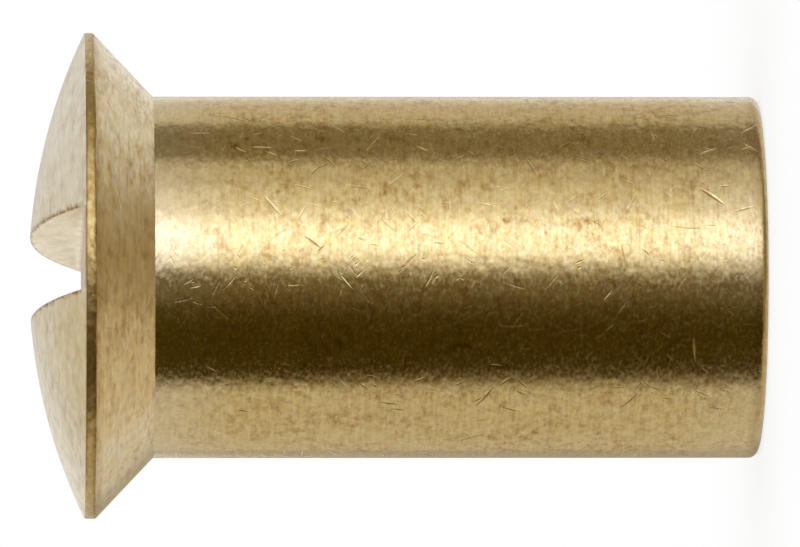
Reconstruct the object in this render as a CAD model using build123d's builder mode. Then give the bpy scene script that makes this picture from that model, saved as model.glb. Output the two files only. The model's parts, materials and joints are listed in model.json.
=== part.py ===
from build123d import *
import math
import os

# A sleeve nut: a slotted raised countersunk head on a plain round sleeve with a blind threaded hole.
# It is turned in one piece from brass bar, so it is one solid.
# It stands on its open end. The origin is the centre of that end face, and +Z runs up the axis to the
# crown of the head. The driver slot runs along Y.

# Sleeve
sleeve_diameter = 8.0
sleeve_length = 13.4           # open end to the foot of the countersink
end_edge_radius = 0.2          # outer edge of the open end

# Head
head_diameter = 10.75
countersink_angle = 93         # included angle under the head
underhead_radius = 0.05        # corner between sleeve and countersink
rim_height = 0.2               # straight land around the widest part
rim_edge_radius = 0.08         # both edges of that land
crown_height = 1.23            # domed top above the land

# Driver slot
slot_width = 1.8
slot_depth = 1.2               # from the crown's highest point
slot_offset = -0.05            # the slotting saw ran this far off the axis
slot_overrun = 1.0             # the cut passes the rim by this much

# Blind hole for a metric thread. The wall is the tap drill's: it is where the crests of the thread lie,
# and the fine grooves between them are part of the finish.
thread_diameter = 6.0
thread_pitch = 1.0
drill_point_angle = 118
head_web = 1.4                 # metal left between the drill point and the slot floor
mouth_angle = 90               # chamfer at the open end
mouth_clearance = 0.4          # the chamfer's diameter over the thread's


def cone_height(wide_radius, narrow_radius, included_angle):
    return (wide_radius - narrow_radius) / math.tan(math.radians(included_angle / 2))


# Outside, from the open end up
sleeve_radius = sleeve_diameter / 2
head_radius = head_diameter / 2
rim_bottom = sleeve_length + cone_height(head_radius, sleeve_radius, countersink_angle)
rim_top = rim_bottom + rim_height
crown_top = rim_top + crown_height
crown_radius = (head_radius**2 + crown_height**2) / (2 * crown_height)
slot_floor = crown_top - slot_depth

# Hole, from the slot floor down: a tap drill is one pitch smaller than its thread
drill_radius = (thread_diameter - thread_pitch) / 2
drill_tip = slot_floor - head_web
drill_shoulder = drill_tip - cone_height(drill_radius, 0, drill_point_angle)
mouth_radius = (thread_diameter + mouth_clearance) / 2
mouth_depth = cone_height(mouth_radius, drill_radius, mouth_angle)
end_fillet = min(end_edge_radius, (sleeve_radius - mouth_radius) / 2)

with BuildPart() as sleeve_nut:
    # The turned body with its drilled hole: half a section, turned about the axis
    with BuildSketch(Plane.XZ) as section:
        with BuildLine():
            Polyline(
                (0, drill_tip),
                (drill_radius, drill_shoulder),
                (drill_radius, mouth_depth),
                (mouth_radius, 0),
                (sleeve_radius, 0),
                (sleeve_radius, sleeve_length),
                (head_radius, rim_bottom),
                (head_radius, rim_top),
            )
            RadiusArc((head_radius, rim_top), (0, crown_top), -crown_radius)
            Line((0, crown_top), (0, drill_tip))
        make_face()
        rim_corners = section.vertices().group_by(Axis.X)[-1]
        fillet(rim_corners, rim_edge_radius)
        end_corner = section.vertices().group_by(Axis.Y)[0].sort_by(Axis.X)[-1]
        fillet(end_corner, end_fillet)
        foot_corner = section.vertices().sort_by_distance((sleeve_radius, sleeve_length))[0]
        fillet(foot_corner, underhead_radius)
    revolve(axis=Axis.Z)

    # The driver slot, sawn straight across the head with a flat floor
    with BuildSketch(Plane.XY.offset(slot_floor)):
        with Locations((slot_offset, 0)):
            Rectangle(slot_width, head_diameter + 2 * slot_overrun)
    extrude(amount=slot_depth + slot_overrun, mode=Mode.SUBTRACT)

sleeve_nut.part.label = "sleeve_nut"
os.makedirs("parts", exist_ok=True)
export_step(sleeve_nut.part, "parts/sleeve_nut.step")
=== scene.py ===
import json
import math

import bmesh
import bpy
import numpy as np
from mathutils import Matrix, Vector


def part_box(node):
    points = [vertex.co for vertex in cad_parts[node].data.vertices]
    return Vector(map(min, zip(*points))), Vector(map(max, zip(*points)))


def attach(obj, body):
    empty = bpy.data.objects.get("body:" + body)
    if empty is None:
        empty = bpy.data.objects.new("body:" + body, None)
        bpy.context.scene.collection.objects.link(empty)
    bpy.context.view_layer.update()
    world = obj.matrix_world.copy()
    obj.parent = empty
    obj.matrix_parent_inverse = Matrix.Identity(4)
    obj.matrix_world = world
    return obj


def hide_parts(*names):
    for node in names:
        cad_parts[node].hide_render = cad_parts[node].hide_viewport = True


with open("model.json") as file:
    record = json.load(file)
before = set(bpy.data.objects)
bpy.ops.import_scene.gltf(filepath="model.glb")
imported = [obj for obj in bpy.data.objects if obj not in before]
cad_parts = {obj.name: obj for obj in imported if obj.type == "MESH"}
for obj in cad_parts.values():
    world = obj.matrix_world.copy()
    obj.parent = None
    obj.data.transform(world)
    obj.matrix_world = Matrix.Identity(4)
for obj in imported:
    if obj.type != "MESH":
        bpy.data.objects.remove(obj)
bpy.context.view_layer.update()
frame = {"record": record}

# ---------------------------------------------------------------------------------------------------
# The turned outside. The nut is one piece of free-machining brass bar: the lathe tool faces the open
# end, and turns the sleeve, the countersink and the crown. The narrow land round the rim is the bar's
# own surface, which runs out a little, so the land is narrower on one side than on the other.

MM = 0.001
mounts = {mount["name"]: mount for mount in frame["record"]["mounts"]}
sleeve_radius = mounts["sleeve"]["dims"]["r_mm"]
head_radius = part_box("sleeve_nut")[1].x / MM
slot_floor = mounts["driver_slot"]["pos_m"][2] / MM
slot_offset = mounts["driver_slot"]["pos_m"][0] / MM
slot_width = 1.8
sleeve_length = 13.4
mouth_radius = 3.2
countersink_angle = 93
land_width = 0.2
crown_height = 1.23
runout = 0.035
corner_radii = [0.2, 0.05, 0.09, 0.07]  # of the open end, the neck, and the land's two edges

countersink_slope = math.tan(math.radians(countersink_angle / 2))
rim_bottom = sleeve_length + (head_radius - sleeve_radius) / countersink_slope
rim_top = rim_bottom + land_width
crown_radius = (head_radius**2 + crown_height**2) / (2 * crown_height)
crown_centre = rim_top + crown_height - crown_radius
slot_walls = slot_offset + slot_width / 2 * np.array([1, -1])
lip_radius = math.sqrt(crown_radius**2 - (slot_floor - crown_centre) ** 2)
grids = []  # the surfaces of the solid, as grids of points in millimetres


def crown_at(radius):
    """Height of the domed top at a distance from the head's axis: a sphere centred on that axis."""
    return crown_centre + np.sqrt(crown_radius**2 - radius**2)


def ring(radius, height):
    """One point of the outline, as a radius and a height at every angle round the axis."""
    return np.stack([radius + 0 * angles, height + 0 * angles], axis=-1)


def rounded(points, radii, steps=6):
    """A polyline of rings whose inner corners are arcs. An arc touches both sides of its corner, at a
    distance of radius times the tangent of half the turn, and is stepped evenly in angle."""
    path = [points[0]]
    for before, corner, after, radius in zip(points, points[1:], points[2:], radii):
        into = (corner - before) / np.linalg.norm(corner - before, axis=-1, keepdims=True)
        out = (after - corner) / np.linalg.norm(after - corner, axis=-1, keepdims=True)
        normal = np.stack([-into[:, 1], into[:, 0]], axis=-1)
        turn = np.arctan2((normal * out).sum(axis=-1), (into * out).sum(axis=-1))[:, None]
        start = corner - into * radius * np.tan(np.abs(turn) / 2)
        for share in np.linspace(0, 1, steps + 1):
            angle = share * np.abs(turn)
            inward = (1 - np.cos(angle)) * np.sign(turn) * normal
            path.append(start + radius * (np.sin(angle) * into + inward))
    path.append(points[-1])
    return np.stack(path)


def turned(profile, angles, centre=0.0):
    """Each point of a profile of radius and height, swept once round an axis at a place along X."""
    radius, height = profile[..., 0], profile[..., 1]
    x = centre + radius * np.cos(angles)
    return np.stack([x, radius * np.sin(angles), height + 0 * angles], axis=-1)


# Where the slot's walls cross the lip, two angles of each half turn are moved to meet them exactly.
half_turn = np.linspace(0, math.pi, 145)
for wall_angle in np.arccos((slot_walls - runout) / lip_radius):
    half_turn[np.abs(half_turn - wall_angle).argmin()] = wall_angle
angles = np.concatenate([half_turn, 2 * math.pi - half_turn[-2::-1]])

# The countersink meets the bar's surface a little higher where that surface is further out, and the
# edge between them wavers by a hundredth of a millimetre or two.
waver = 0.009 * np.sin(9 * angles + 1) + 0.007 * np.sin(17 * angles + 3) + 0.006 * np.sin(31 * angles)
land_edge = rim_bottom + runout * np.cos(angles) / countersink_slope + waver
outline = rounded(
    [
        ring(mouth_radius, 0.0),
        ring(sleeve_radius, 0.0),
        ring(sleeve_radius, sleeve_length),
        ring(head_radius, land_edge),
        ring(head_radius, rim_top),
        ring(lip_radius, slot_floor),
    ],
    corner_radii,
)
centre = np.where(outline[:, :1, 0] > (sleeve_radius + head_radius) / 2, runout, 0.0)
grids.append(turned(outline, angles, centre))

# ---------------------------------------------------------------------------------------------------
# The crown and its driver slot. The dome is turned like the rest, and a slitting saw then cuts one
# straight, flat-floored slot across it, which leaves both edges slightly broken.

edge_break = 0.035
floor_corner = 0.06
quarter = np.linspace(0, math.pi / 2, 6)


def slot_side(wall):
    """Columns across one side of the slot, from the dome to the floor. Each holds its wall, how far
    out and down it is in the broken edge, how far down the wall, and how far in and down it is in the
    floor's rounded corner, all as shares of those sizes."""
    side = math.copysign(1, wall - slot_offset)
    columns = [(wall, side * (1 - math.sin(t)), 1 - math.cos(t), 0, 0, 0) for t in quarter]
    columns += [(wall, 0, 1, share, 0, 0) for share in np.linspace(0, 1, 7)[1:]]
    columns += [(wall, 0, 1, 1, -side * (1 - math.cos(t)), math.sin(t)) for t in quarter[1:]]
    return columns if side > 0 else columns[::-1]


columns = []
for place in runout + lip_radius * np.cos(half_turn):
    if np.abs(slot_walls - place).min() < 1e-9:
        columns += slot_side(place)
    elif abs(place - slot_offset) < slot_width / 2:
        columns.append((place, 0, 1, 1, 0, 1))
    else:
        columns.append((place, 0, 0, 0, 0, 0))
wall, edge_out, edge_down, fall, corner_in, corner_down = np.array(columns).T[:, :, None]
from_middle = np.sin(np.linspace(-math.pi / 2, math.pi / 2, 97))
y = from_middle * np.sqrt(np.maximum(lip_radius**2 - (wall - runout) ** 2, 0))
depth = np.maximum(crown_at(np.hypot(wall - runout, y)) - slot_floor, 0)
edge = np.minimum(edge_break, depth / 3)
corner = np.minimum(floor_corner, depth / 3)
x = wall + edge_out * edge + corner_in * corner
top = crown_at(np.hypot(x - runout, y))
z = top - edge_down * edge - fall * (top - slot_floor - edge - corner) - corner_down * corner
grids.append(np.stack([x, y, z], axis=-1))

# ---------------------------------------------------------------------------------------------------
# The blind hole. It is drilled, chamfered at the mouth and tapped right hand: a thread of 1 mm pitch
# with flat crests on the drilled wall, flanks at 60 degrees and narrow flat roots.

drill_radius = mounts["thread"]["dims"]["r_mm"]
drill_point_angle = 118
floor_thickness = 1.4
untapped_length = 1.5
pitch = 1.0
thread_depth = 0.5
flank_angle = 60
fade_turns = 1.5
drill_tip = slot_floor - floor_thickness
drill_shoulder = drill_tip - drill_radius / math.tan(math.radians(drill_point_angle / 2))
thread_end = drill_shoulder - untapped_length

# Half the width of a root and of a crest, and the breaks of one turn, are shares of the pitch.
root_half = 1 / 16
crest_half = 0.5 - root_half - thread_depth / pitch * math.tan(math.radians(flank_angle / 2))
breaks = [0, crest_half, (crest_half + 0.5 - root_half) / 2, 0.5 - root_half]
breaks += [1 - share for share in breaks[:0:-1]]
last_turn = math.ceil(thread_end / pitch)
turns = np.array([turn + share for turn in range(-1, last_turn + 1) for share in breaks])
height = np.clip(pitch * (turns[:, None] + angles / (2 * math.pi)), 0, thread_end)
phase = height / pitch - angles / (2 * math.pi)
from_crest = np.abs(phase - np.round(phase))
groove = np.clip((from_crest - crest_half) / (0.5 - root_half - crest_half), 0, 1)
groove *= np.clip((thread_end - height) / (fade_turns * pitch), 0, 1)
wall_radius = np.maximum(drill_radius + thread_depth * groove, mouth_radius - height)
thread = np.stack([wall_radius * np.cos(angles), wall_radius * np.sin(angles), height], axis=-1)
bottom = np.array([(drill_radius, thread_end), (drill_radius, drill_shoulder), (0, drill_tip)])
grids.append(np.concatenate([thread, turned(bottom[:, None], angles)])[::-1])

# ---------------------------------------------------------------------------------------------------
# The solid. The three surfaces meet along the lip and the edge of the mouth, and become one skin.


def skin(name, grid):
    """A mesh through a grid of points in metres. Each of its faces joins two neighbours in a row to
    the same two of the next row."""
    rows, columns, _ = grid.shape
    first = (np.arange(rows - 1)[:, None] * columns + np.arange(columns - 1)).ravel()
    faces = np.stack([first, first + 1, first + columns + 1, first + columns], axis=-1)
    made = bpy.data.meshes.new(name)
    made.from_pydata(grid.reshape(-1, 3).tolist(), [], faces.tolist())
    return made


solid = bmesh.new()
for grid in grids:
    surface = skin("surface", grid * MM)
    solid.from_mesh(surface)
    bpy.data.meshes.remove(surface)
bmesh.ops.remove_doubles(solid, verts=solid.verts, dist=1e-5 * MM)
mesh = bpy.data.meshes.new("sleeve_nut_turned")
solid.to_mesh(mesh)
solid.free()
mesh.shade_smooth()
mesh.set_sharp_from_angle(angle=math.radians(20))
nut = bpy.data.objects.new("sleeve_nut_turned", mesh)
bpy.context.scene.collection.objects.link(nut)
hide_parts("sleeve_nut")
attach(nut, "root")

# ---------------------------------------------------------------------------------------------------
# The brass. Free-machining brass as it leaves the lathe: bright yellow metal under fine rings from
# the tool, with short scratches from tumbling among other nuts and a little brown tarnish.

yellower = "#EFCF80"
tarnished = "#A8772A"
rubbed_pale = "#FBF1D2"
# Darker brown for the slot's burred edges and the open end's edge, and painted shade along and under the
# land and low in the slot
brown_and_shade_colour = "#9C7616"
worn_by_head = 1.8
worn_by_mouth = 2.0


def linear(colour):
    """A hex sRGB colour as linear red, green, blue and alpha."""
    share = np.array([int(colour[i : i + 2], 16) / 255 for i in (1, 3, 5)])
    share = np.where(share <= 0.04045, share / 12.92, ((share + 0.055) / 1.055) ** 2.4)
    return (*share.tolist(), 1.0)


def node(tree, kind, inputs=None, **settings):
    """Adds one node with its settings, and gives each named or numbered input a value or the output
    of another node."""
    made = tree.nodes.new("ShaderNode" + kind)
    for name, value in settings.items():
        setattr(made, name, value)
    for name, value in (inputs or {}).items():
        named = [socket for socket in made.inputs if socket.enabled and socket.name == name]
        socket = named[0] if named else made.inputs[name]
        if isinstance(value, bpy.types.Node):
            value = next(output for output in value.outputs if output.enabled)
        if isinstance(value, bpy.types.NodeSocket):
            tree.links.new(value, socket)
        else:
            socket.default_value = value
    return made


def scratches(tree, spot, place, cell, length, width, missing):
    """Depth share of short straight grooves. Each cell of a random pattern may hold one, deep or
    shallow: a V across a random direction in the surface, of the given half width, which tapers to its
    ends as 1 - s * s."""
    cells = node(tree, "TexVoronoi", {"Vector": place, "Scale": 1 / cell})
    chance = node(tree, "SeparateColor", {"Color": cells.outputs["Color"]})
    away = node(tree, "VectorMath", {0: place, 1: cells.outputs["Position"]}, operation="SUBTRACT")
    heading = node(tree, "VectorMath", {0: cells.outputs["Color"], 1: (0.5, 0.5, 0.5)}, operation="SUBTRACT")
    across = node(tree, "VectorMath", {0: heading, 1: spot.outputs["Normal"]}, operation="CROSS_PRODUCT")
    across = node(tree, "VectorMath", {0: across}, operation="NORMALIZE")
    aside = node(tree, "VectorMath", {0: away, 1: across}, operation="DOT_PRODUCT")
    aside = node(tree, "Math", {0: aside.outputs["Value"]}, operation="ABSOLUTE")
    aside = node(tree, "Math", {0: aside, 1: width}, operation="DIVIDE")
    along = node(tree, "VectorMath", {0: away}, operation="LENGTH")
    along = node(tree, "Math", {0: along.outputs["Value"], 1: length}, operation="DIVIDE")
    along = node(tree, "Math", {0: along, 1: 2.0}, operation="POWER")
    full = node(tree, "Math", {0: 1.0, 1: along}, operation="SUBTRACT")
    groove = node(tree, "Math", {0: full, 1: aside}, operation="SUBTRACT", use_clamp=True)
    deep = node(tree, "MapRange", {
        "Value": chance.outputs["Green"], "From Min": missing, "From Max": missing + 0.25,
    })
    return node(tree, "Math", {0: groove, 1: deep}, operation="MULTIPLY")


def tool_marks(tree, marks, streaks, uneven):
    """The height of the tool's marks: ridges about 0.06 mm apart and the metal's own grain between
    them, on a surface that wavers over about 0.2 mm. Also gives the ridges and the grain alone."""
    ridges = node(tree, "VectorMath", {0: marks, 1: (1.0, 1.0, 16.0)}, operation="MULTIPLY")
    ridges = node(tree, "TexNoise", {"Vector": ridges, "Scale": 1.0, "Detail": 1.0})
    waver = node(tree, "VectorMath", {0: marks, 1: (2.6, 2.6, 6.0)}, operation="MULTIPLY")
    waver = node(tree, "TexNoise", {"Vector": waver, "Scale": 1.0, "Detail": 1.0})
    grain = node(tree, "VectorMath", {0: marks, 1: (5.3, 5.3, 10.0)}, operation="MULTIPLY")
    grain = node(tree, "TexNoise", {"Vector": grain, "Scale": 1.0, "Detail": 2.0})
    height = node(tree, "Math", {0: ridges, 1: streaks}, operation="MULTIPLY")
    height = node(tree, "Math", {0: waver, 1: uneven, 2: height}, operation="MULTIPLY_ADD")
    height = node(tree, "Math", {0: grain, 1: streaks, 2: height}, operation="MULTIPLY_ADD")
    return height, ridges, grain


def knocked_about(tree, spot, place, height, scratched, worn):
    """The height with the scratches and nicks that other nuts leave, and how deep in one each point
    is, as a share. They lie on a place that is bent a little, so that none is quite straight. They
    come in crowds, and where the sleeve is worn, few are left next to the head."""
    bend = node(tree, "TexNoise", {"Vector": place, "Scale": 2.0, "Detail": 1.0}).outputs["Color"]
    bent = node(tree, "VectorMath", {0: bend, 1: (0.04,) * 3, 2: place}, operation="MULTIPLY_ADD")
    crowd = node(tree, "TexNoise", {"Vector": place, "Scale": 0.45, "Detail": 1.0})
    crowd = node(tree, "MapRange", {
        "Value": crowd, "From Min": 0.42, "From Max": 0.56, "To Min": 0.3 * scratched, "To Max": scratched,
    })
    if worn:
        level = node(tree, "SeparateXYZ", {0: place}).outputs["Z"]
        left = node(tree, "MapRange", {
            "Value": level, "To Min": 0.2,
            "From Min": sleeve_length, "From Max": sleeve_length - worn_by_head,
        })
        crowd = node(tree, "Math", {0: crowd, 1: left}, operation="MULTIPLY")
    scored = 0.0
    for cell, length, width, depth, missing in (
        (1.1, 0.38, 0.050, 0.0145, 0.35),
        (0.7, 0.25, 0.032, 0.0080, 0.15),
        (0.45, 0.16, 0.028, 0.0065, 0.15),
        (0.26, 0.06, 0.032, 0.0035, 0.50),
    ):
        groove = scratches(tree, spot, bent, cell, length, width, missing)
        groove = node(tree, "Math", {0: groove, 1: crowd}, operation="MULTIPLY")
        height = node(tree, "Math", {0: groove, 1: -depth, 2: height}, operation="MULTIPLY_ADD")
        scored = node(tree, "Math", {0: groove, 1: scored}, operation="MAXIMUM")
    return height, scored


def tarnishing(tree, place, marks, ridges, grain, tarnish):
    """How brown and how yellow each point is, as shares. Warm brown patches a millimetre or so across
    are made up of blots of a fifth of that, with faint darker lines in the tool's marks. The metal
    between is yellower in some places than in others."""
    patches = node(tree, "TexNoise", {"Vector": place, "Scale": 1.1, "Detail": 5.0, "Roughness": 0.68})
    patches = node(tree, "MapRange", {"Value": patches, "From Min": 0.38, "From Max": 0.68})
    blots = node(tree, "VectorMath", {0: marks, 1: (2.6, 2.6, 5.0)}, operation="MULTIPLY")
    blots = node(tree, "TexNoise", {"Vector": blots, "Scale": 1.0, "Detail": 3.0, "Roughness": 0.6})
    yellow = node(tree, "SeparateColor", {"Color": blots.outputs["Color"]}).outputs["Green"]
    yellow = node(tree, "MapRange", {
        "Value": yellow, "From Min": 0.30, "From Max": 0.70, "To Max": 1.15 * tarnish,
    })
    blots = node(tree, "MapRange", {"Value": blots.outputs["Fac"], "From Min": 0.42, "From Max": 0.72})
    lines = node(tree, "Math", {0: ridges, 1: grain}, operation="ADD")
    lines = node(tree, "MapRange", {"Value": lines, "From Min": 0.80, "From Max": 1.35})
    brown = node(tree, "Math", {0: patches, 1: 1.3, 2: 0.15}, operation="MULTIPLY_ADD")
    brown = node(tree, "Math", {0: blots, 1: brown}, operation="MULTIPLY")
    brown = node(tree, "Math", {0: lines, 1: 0.6, 2: brown}, operation="MULTIPLY_ADD")
    brown = node(tree, "Math", {0: brown, 1: tarnish}, operation="MULTIPLY", use_clamp=True)
    return brown, yellow


def brass_finish(
    name, colour, lay, roughness, streaks, uneven, scratched, tarnish,
    longer=1.0, wider=1.0, brown_and_shade=None, worn=0.0,
):
    """Brass with the marks of its making. The lay is the vector that the marks follow, in millimetres:
    it changes slowly along a mark and fast across it. Longer and wider say how many times longer and
    wider the marks are than the sleeve's. Streaks and unevenness are heights in millimetres, and
    scratches, tarnish and wear are shares of their full strength. A function of the place, if given,
    gives a share of darker brown, which is partly painted shade."""
    material = bpy.data.materials.new(name)
    material.use_nodes = True
    tree = material.node_tree
    tree.nodes.clear()
    spot = node(tree, "TexCoord")
    place = node(tree, "VectorMath", {0: spot.outputs["Object"], "Scale": 1 / MM}, operation="SCALE")
    marks = node(tree, "VectorMath", {0: lay(tree, place), 1: (longer, longer, wider)}, operation="DIVIDE")

    height, ridges, grain = tool_marks(tree, marks, streaks, uneven)
    scored = 0.0
    if scratched:
        height, scored = knocked_about(tree, spot, place, height, scratched, worn)

    brown, yellow = tarnishing(tree, place, marks, ridges, grain, tarnish)
    metal = node(tree, "Mix", {
        "Factor": yellow, "A": linear(colour), "B": linear(yellower),
    }, data_type="RGBA")
    metal = node(tree, "Mix", {"Factor": brown, "A": metal, "B": linear(tarnished)}, data_type="RGBA")

    # Roughness: specks of fine pits, a tenth of a millimetre across, scatter light into the dark bands.
    # Scratches and tarnish are a little rougher than the metal beside them
    dull = node(tree, "MapRange", {
        "Value": grain, "From Min": 0.3, "From Max": 0.7,
        "To Min": roughness - 0.035, "To Max": roughness + 0.035,
    })
    pitted = node(tree, "VectorMath", {0: marks, 1: (7.0, 7.0, 15.0)}, operation="MULTIPLY")
    pitted = node(tree, "TexNoise", {"Vector": pitted, "Scale": 1.0, "Detail": 2.0, "Roughness": 0.6})
    pitted = node(tree, "MapRange", {
        "Value": pitted, "From Min": 0.40, "From Max": 0.75, "To Max": 0.25 * scratched,
    })
    dull = node(tree, "Math", {0: brown, 1: 0.05, 2: dull}, operation="MULTIPLY_ADD")
    dull = node(tree, "Math", {0: scored, 1: 0.10, 2: dull}, operation="MULTIPLY_ADD")
    dull = node(tree, "Math", {0: dull, 1: pitted}, operation="ADD")

    # Wear: the sleeve is rubbed paler at both its ends, and is smoothest next to the head
    if worn:
        level = node(tree, "SeparateXYZ", {0: place}).outputs["Z"]
        by_head = node(tree, "MapRange", {
            "Value": level, "To Max": worn,
            "From Min": sleeve_length - worn_by_head, "From Max": sleeve_length,
        })
        by_mouth = node(tree, "MapRange", {
            "Value": level, "From Min": worn_by_mouth, "From Max": 0.0, "To Max": 0.6 * worn,
        })
        pale = node(tree, "Math", {0: by_head, 1: by_mouth}, operation="ADD")
        metal = node(tree, "Mix", {"Factor": pale, "A": metal, "B": linear(rubbed_pale)}, data_type="RGBA")
        smoothed = node(tree, "MapRange", {
            "Value": level, "From Max": sleeve_length, "To Min": 0.035, "To Max": -0.05,
        })
        dull = node(tree, "Math", {0: dull, 1: smoothed}, operation="ADD")

    # Raised burred edges and darker brown, partly painted shade, which belong to one part of the nut and
    # stand a little above its surface
    if brown_and_shade:
        brown_and_shade_share = brown_and_shade(tree, place)
        metal = node(tree, "Mix", {"Factor": brown_and_shade_share, "A": metal, "B": linear(brown_and_shade_colour)}, data_type="RGBA")
        height = node(tree, "Math", {0: brown_and_shade_share, 1: 0.004, 2: height}, operation="MULTIPLY_ADD")
    relief = node(tree, "Bump", {"Strength": 1.0, "Distance": MM, "Height": height})
    surface = node(tree, "BsdfPrincipled", {
        "Base Color": metal,
        "Metallic": 1.0,
        "Roughness": dull,
        "Normal": relief,
        "Anisotropic": 0.4,
        "Anisotropic Rotation": 0.25,
        "Tangent": node(tree, "Tangent", direction_type="RADIAL", axis="Z"),
    })
    node(tree, "OutputMaterial", {"Surface": surface})
    return material


def round_the_axis(tree, place):
    """The lay of turned marks: one and a half times the place across the axis, which changes slowly
    round a turn, and the distance from the axis plus the height, folded back above the rim, which
    changes steadily all along the outline."""
    outward = node(tree, "VectorMath", {0: place, 1: (1.0, 1.0, 0.0)}, operation="MULTIPLY")
    distance = node(tree, "VectorMath", {0: outward}, operation="LENGTH")
    level = node(tree, "SeparateXYZ", {0: place}).outputs["Z"]
    folded = node(tree, "Math", {0: level, 1: rim_top}, operation="PINGPONG")
    profile = node(tree, "Math", {0: folded, 1: distance.outputs["Value"]}, operation="ADD")
    profile = node(tree, "CombineXYZ", {"Z": profile})
    return node(tree, "VectorMath", {0: outward, 1: (1.5, 1.5, 0.0), 2: profile}, operation="MULTIPLY_ADD")


def along_the_slot(tree, place):
    """The lay of the saw's marks, which run straight along Y: half the place along the slot, ten times
    the place across it, and the height."""
    return node(tree, "VectorMath", {0: place, 1: (10.0, 0.5, 1.0)}, operation="MULTIPLY")


def slot_edge(tree, place):
    """A ragged brown line along both edges of the slot, which the saw leaves burred and a little raised, in
    clots of a fifth of a millimetre; its dark colour is partly painted shade. Painted shade also lies low in
    the slot, darkest on its floor. The distance from an edge is how far out from the slot a point of the
    dome is, or how far under the dome a point of the slot's wall is, where it reaches less far. The line
    ends where the slot runs out at the rim."""
    axes = node(tree, "SeparateXYZ", {0: place})
    out = node(tree, "Math", {0: axes.outputs["X"], 1: slot_offset}, operation="SUBTRACT")
    out = node(tree, "Math", {0: out}, operation="ABSOLUTE")
    out = node(tree, "Math", {0: out, 1: slot_width / 2}, operation="SUBTRACT")
    down = node(tree, "VectorMath", {0: place, 1: (runout, 0.0, crown_centre)}, operation="DISTANCE")
    down = node(tree, "Math", {0: crown_radius, 1: down.outputs["Value"]}, operation="SUBTRACT")
    down = node(tree, "Math", {0: down, 1: 1.6}, operation="MULTIPLY")
    away = node(tree, "Math", {0: out, 1: down}, operation="MAXIMUM")
    uneven = node(tree, "TexNoise", {"Vector": place, "Scale": 5.0, "Detail": 3.0, "Roughness": 0.6})
    reach = node(tree, "MapRange", {
        "Value": uneven, "From Min": 0.35, "From Max": 0.65, "To Min": 0.07, "To Max": 0.20,
    })
    clots = node(tree, "SeparateColor", {"Color": uneven.outputs["Color"]}).outputs["Green"]
    clots = node(tree, "MapRange", {"Value": clots, "From Min": 0.38, "From Max": 0.58, "To Min": 0.35})
    # Burred edges, whose dark brown is partly painted shade
    burr_and_shade = node(tree, "MapRange", {
        "Value": away, "From Min": reach, "From Max": 0.02, "To Max": clots,
    }, interpolation_type="SMOOTHSTEP")
    above = node(tree, "MapRange", {
        "Value": axes.outputs["Z"], "From Min": slot_floor + 0.02, "From Max": slot_floor + 0.12,
    })
    burr_and_shade = node(tree, "Math", {0: burr_and_shade, 1: above}, operation="MULTIPLY")
    # Painted shade low in the slot: darker over the walls' lowest half millimetre and on the floor
    low = node(tree, "MapRange", {
        "Value": axes.outputs["Z"], "From Min": slot_floor + 0.5, "From Max": slot_floor, "To Max": 0.5,
    })
    within = node(tree, "Math", {0: out, 1: 0.0}, operation="LESS_THAN")
    low = node(tree, "Math", {0: low, 1: within}, operation="MULTIPLY")
    return node(tree, "Math", {0: burr_and_shade, 1: low}, operation="MAXIMUM")


def at_the_mouth(tree, place):
    """Brown on the rounded edge of the open end, up to about 0.4 mm."""
    level = node(tree, "SeparateXYZ", {0: place}).outputs["Z"]
    return node(tree, "MapRange", {"Value": level, "From Min": 0.40, "From Max": 0.10, "To Max": 0.42})


def ragged(tree, place, share):
    """A share of brown, which is painted shade in part, broken up into ragged spots of about a third of a
    millimetre.
    """
    spots = node(tree, "TexNoise", {"Vector": place, "Scale": 3.0, "Detail": 4.0, "Roughness": 0.7})
    return node(tree, "Math", {0: share, 1: spots}, operation="MULTIPLY", use_clamp=True)


def under_the_land(tree, place):
    """Brown on the countersink within about 0.2 mm of the land: partly tarnish, partly painted shade under
    the land's edge.
    """
    level = node(tree, "SeparateXYZ", {0: place}).outputs["Z"]
    near = node(tree, "MapRange", {
        "Value": level, "From Min": rim_bottom - 0.20, "From Max": rim_bottom, "To Max": 0.8,
    })
    return ragged(tree, place, near)


def beside_the_land(tree, place):
    """Painted shade: brown along both edges of the land, up to about 0.07 mm from each, and least in its
    middle.
    """
    level = node(tree, "SeparateXYZ", {0: place}).outputs["Z"]
    middle = node(tree, "Math", {0: level, 1: (rim_bottom + rim_top) / 2 + 0.01}, operation="SUBTRACT")
    middle = node(tree, "Math", {0: middle}, operation="ABSOLUTE")
    near = node(tree, "MapRange", {"Value": middle, "From Min": 0.045, "From Max": 0.11, "To Max": 1.3})
    return ragged(tree, place, near)


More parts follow.
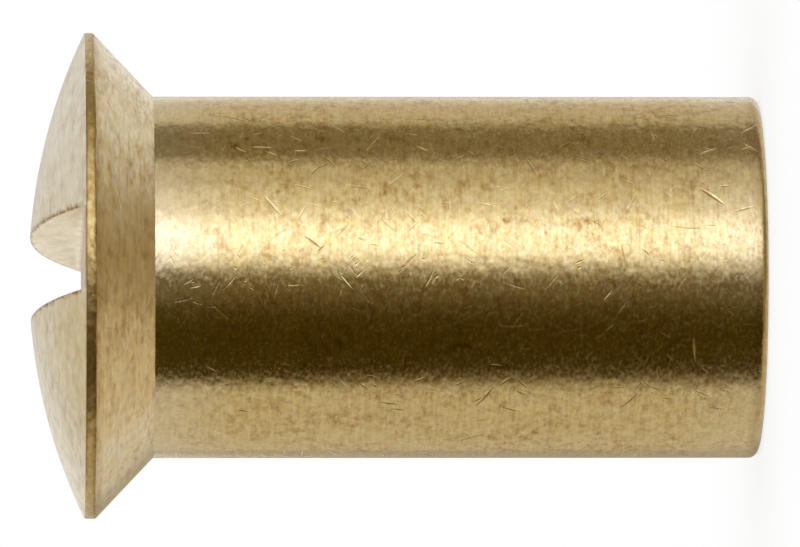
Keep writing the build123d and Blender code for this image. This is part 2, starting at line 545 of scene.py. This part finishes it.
finishes = {
    # The sleeve has the finest cut, and rubs on its neighbours. It is smooth enough to show the room as
    # bright and dark bands, whose edges its marks make soft and uneven.
    "sleeve": brass_finish(
        "turned brass, bright", "#F4E1A9", round_the_axis, roughness=0.15,
        streaks=0.0014, uneven=0.0085, scratched=1.0, tarnish=0.55,
        brown_and_shade=at_the_mouth, worn=0.45,
    ),
    # The countersink has a coarser cut, which blurs the bands into one satin shade.
    "seat": brass_finish(
        "turned brass, matt", "#F5E7C2", round_the_axis, roughness=0.30,
        streaks=0.0016, uneven=0.005, scratched=0.5, tarnish=0.42,
        longer=1.6, wider=1.5, brown_and_shade=under_the_land,
    ),
    # The land is the drawn bar's own skin, which no tool has cut: dull, golden and a little lumpy.
    "rim": brass_finish(
        "drawn brass, tarnished", "#DFC992", round_the_axis, roughness=0.40,
        streaks=0.004, uneven=0.03, scratched=0.3, tarnish=0.5,
        brown_and_shade=beside_the_land,
    ),
    # The dome is turned from a small radius to a large one and is rubbed the most: pale and soft.
    "crown": brass_finish(
        "turned brass, matt and pale", "#F6EFD4", round_the_axis, roughness=0.33,
        streaks=0.001, uneven=0.0045, scratched=0.4, tarnish=0.26,
        longer=2.2, wider=3.0, brown_and_shade=slot_edge,
    ),
    # The saw's teeth leave fine straight lines, and the fresh cut is paler than the skin round it.
    "slot": brass_finish(
        "sawn brass", "#FDF3D8", along_the_slot, roughness=0.30,
        streaks=0.0001, uneven=0.0008, scratched=0.0, tarnish=0.2,
        longer=1.3, wider=2.2, brown_and_shade=slot_edge,
    ),
    # The tap cuts clean metal that nothing rubs or dirties, so it is the yellowest.
    "bore": brass_finish(
        "tapped brass", "#E8CD8C", round_the_axis, roughness=0.22,
        streaks=0.001, uneven=0.004, scratched=0.0, tarnish=0.30,
    ),
}
for finish in finishes.values():
    mesh.materials.append(finish)

# Each face takes its finish from where its middle lies: by height on the outside, by its distance from
# the slot's middle in the slot, and by its distance from the axis in the hole, whose wall faces inwards.
order = {name: i for i, name in enumerate(finishes)}
normals = np.empty(3 * len(mesh.polygons))
mesh.polygons.foreach_get("normal", normals)
middles = np.empty(3 * len(mesh.polygons))
mesh.polygons.foreach_get("center", middles)
middles, normals = middles.reshape(-1, 3) / MM, normals.reshape(-1, 3)
from_axis = np.hypot(middles[:, 0], middles[:, 1])
level = middles[:, 2]
outward = (middles[:, :2] * normals[:, :2]).sum(axis=1)
chosen = np.full(len(level), order["sleeve"])
chosen[level > sleeve_length] = order["seat"]
chosen[level > rim_bottom - 0.02] = order["rim"]
chosen[level > rim_top + 0.005] = order["crown"]
in_slot = (level > slot_floor - 0.001) & (np.abs(middles[:, 0] - slot_offset) < slot_width / 2 + 0.01)
chosen[in_slot] = order["slot"]
chosen[(level < drill_tip + 0.01) & (from_axis < mouth_radius - 0.005) & (outward <= 0)] = order["bore"]
mesh.polygons.foreach_set("material_index", chosen)

# ---------------------------------------------------------------------------------------------------
# The camera stands a little above the level of the head and is turned on its side, so that the nut
# lies across the view with its head to the left. It looks a little down, towards the open end.

view_azimuth = math.radians(-7.93)
camera_distance = 246.4
camera_height = 17.24
camera_sideways = 0.087
camera_dip = math.radians(2.167)
camera_lens = 500.9

towards_camera = np.array([math.sin(view_azimuth), -math.cos(view_azimuth), 0])
view_up = np.array([math.cos(view_azimuth), math.sin(view_azimuth), 0])
nut_up = np.array([0, 0, 1])
camera_data = bpy.data.cameras.new("camera")
camera_data.lens = camera_lens
camera_data.clip_start = 0.01
camera_data.clip_end = 10.0
camera = bpy.data.objects.new("camera", camera_data)
bpy.context.scene.collection.objects.link(camera)
back = math.cos(camera_dip) * towards_camera + math.sin(camera_dip) * nut_up
right = math.sin(camera_dip) * towards_camera - math.cos(camera_dip) * nut_up
stand = camera_distance * towards_camera + camera_sideways * view_up + camera_height * nut_up
aim = Matrix(np.stack([right, view_up, back], axis=1)).to_4x4()
camera.matrix_world = Matrix.Translation(MM * stand) @ aim
bpy.context.scene.camera = camera

# ---------------------------------------------------------------------------------------------------
# The studio: a white room, a white floor, and a light tent that only the metal sees. The tent stands
# for the soft boxes and dark cards round a small polished thing.

world = bpy.data.worlds.new("white room")
world.use_nodes = True
world.node_tree.nodes["Background"].inputs["Color"].default_value = linear("#FFFFFF")
bpy.context.scene.world = world
bpy.context.scene.view_settings.view_transform = "Standard"

floor_radius = 60
floor_drop = 0.02  # below the nut's end, so that the two don't touch
floor_mesh = bpy.data.meshes.new("floor")
turn = np.linspace(0, 2 * math.pi, 97)[:-1]
floor_edge = [floor_radius * np.cos(turn), floor_radius * np.sin(turn), 0 * turn - floor_drop]
floor_edge = np.stack(floor_edge, axis=-1)
floor_mesh.from_pydata((floor_edge * MM).tolist(), [], [list(range(len(turn)))])
floor = bpy.data.objects.new("floor", floor_mesh)
bpy.context.scene.collection.objects.link(floor)
floor.visible_glossy = False

# White paper, lit from all sides so that its shadow is faint. It fades into the white room round it,
# between two distances from the nut, so that no edge shows. To the eye it also glows a little.
fade_from = 6
fade_to = 30
glow_share = 0.78
paper = bpy.data.materials.new("white paper")
paper.use_nodes = True
tree = paper.node_tree
tree.nodes.clear()
spot = node(tree, "TexCoord")
away = node(tree, "VectorMath", {0: spot.outputs["Object"]}, operation="LENGTH")
faded = node(tree, "MapRange", {
    "Value": away.outputs["Value"], "From Min": fade_from * MM, "From Max": fade_to * MM,
}, interpolation_type="SMOOTHSTEP")
sheet = node(tree, "BsdfDiffuse", {"Color": linear("#FFFFFF")})
white = node(tree, "Emission", {"Color": linear("#FFFFFF"), "Strength": 1.0})
seen = node(tree, "LightPath").outputs["Is Camera Ray"]
seen = node(tree, "Math", {0: seen, 1: glow_share}, operation="MULTIPLY")
sheet = node(tree, "MixShader", {"Fac": seen, 1: sheet, 2: white})
blended = node(tree, "MixShader", {"Fac": faded, 1: sheet, 2: node(tree, "BsdfTransparent")})
node(tree, "OutputMaterial", {"Surface": blended})
floor_mesh.materials.append(paper)

# The tent is a ball of white cloth round the nut. Each panel of light or shade on it is at a bearing
# from the camera, positive towards the top of the view, and at a height above the level of the nut.
# It has a half width, a half height and soft edges, all in degrees. Its light is linear red, green and
# blue, where 1 is as bright as the room. A later panel lies over the ones before it.
tent_radius = 0.5
tent_light = (0.58, 0.54, 0.48)
panels = [
    # bearing, height, half width, half height, edge, light
    (0, 55, 128, 35, 24, (0.36, 0.28, 0.16)),
    (180, 0, 26, 90, 30, (0.82, 0.83, 0.86)),
    (180, 0, 11, 13, 10, (0.55, 0.475, 0.31)),
    (163, -15, 12, 9, 12, (1.0, 1.04, 1.15)),
    (-166, 16, 12, 18, 8, (1.15, 1.12, 1.05)),
    (142, 20, 17, 14, 12, (1.06, 1.17, 1.54)),
    (-137, 20, 16, 14, 12, (0.84, 0.88, 0.98)),
    (44, 8, 15, 50, 16, (0.80, 0.78, 0.76)),
    (25, 8, 13, 45, 22, (1.57, 1.63, 1.92)),
    (97, 4, 18, 45, 10, (0.215, 0.18, 0.12)),
    (-33.5, 8, 37.5, 50, 16, (0.145, 0.115, 0.055)),
    (-41.5, 8, 26.5, 50, 16, (0.07, 0.047, 0.008)),
    (-46.5, 8, 19.5, 50, 10, (0.05, 0.032, 0.001)),
    (28, -68, 80, 22, 16, (0.30, 0.235, 0.13)),
    (180, -45, 65, 25, 22, (0.79, 0.80, 0.84)),
    (-150, -26, 22, 10, 12, (0.66, 0.64, 0.60)),
    (-161, -10, 16, 11, 6, (0.42, 0.38, 0.32)),
    (0, -90, 180, 17, 24, (0.38, 0.315, 0.19)),
    (-105, -66, 45, 22, 16, (0.67, 0.59, 0.46)),
    (180, 45, 50, 30, 30, (0.77, 0.78, 0.84)),
    (-160, 56, 22, 16, 12, (0.66, 0.58, 0.42)),
]

turn = np.linspace(0, 2 * math.pi, 193)
rise = np.linspace(-math.pi / 2, math.pi / 2, 97)[:, None]
direction = [np.cos(rise) * np.cos(turn), np.cos(rise) * np.sin(turn), np.sin(rise) + 0 * turn]
direction = np.stack(direction, axis=-1)
bearing = np.degrees(np.arctan2(direction @ view_up, direction @ towards_camera))
elevation = np.degrees(np.arcsin(direction[..., 2]))


def inside(distance, half, edge):
    """1 well inside a panel and 0 well outside, by a cubic step across its soft edge."""
    share = np.clip((half - distance) / edge + 0.5, 0, 1)
    return share * share * (3 - 2 * share)


light = np.broadcast_to(tent_light, direction.shape).copy()
for panel_bearing, panel_height, half_width, half_height, edge, panel_light in panels:
    aside = np.abs((bearing - panel_bearing + 180) % 360 - 180)
    weight = inside(aside, half_width, edge) * inside(np.abs(elevation - panel_height), half_height, edge)
    light += weight[..., None] * (np.array(panel_light) - light)

tent_mesh = skin("light tent", tent_radius * direction)
painted = tent_mesh.color_attributes.new("light", "FLOAT_COLOR", "POINT")
painted.data.foreach_set("color", np.concatenate([light, np.ones_like(light[..., :1])], axis=-1).ravel())
tent = bpy.data.objects.new("light tent", tent_mesh)
bpy.context.scene.collection.objects.link(tent)
for ray in ("camera", "diffuse", "transmission", "volume_scatter", "shadow"):
    setattr(tent, "visible_" + ray, False)
cloth = bpy.data.materials.new("light tent")
cloth.use_nodes = True
tree = cloth.node_tree
tree.nodes.clear()
glow = node(tree, "Emission", {"Color": node(tree, "VertexColor", layer_name="light"), "Strength": 1.0})
node(tree, "OutputMaterial", {"Surface": glow})
tent_mesh.materials.append(cloth)
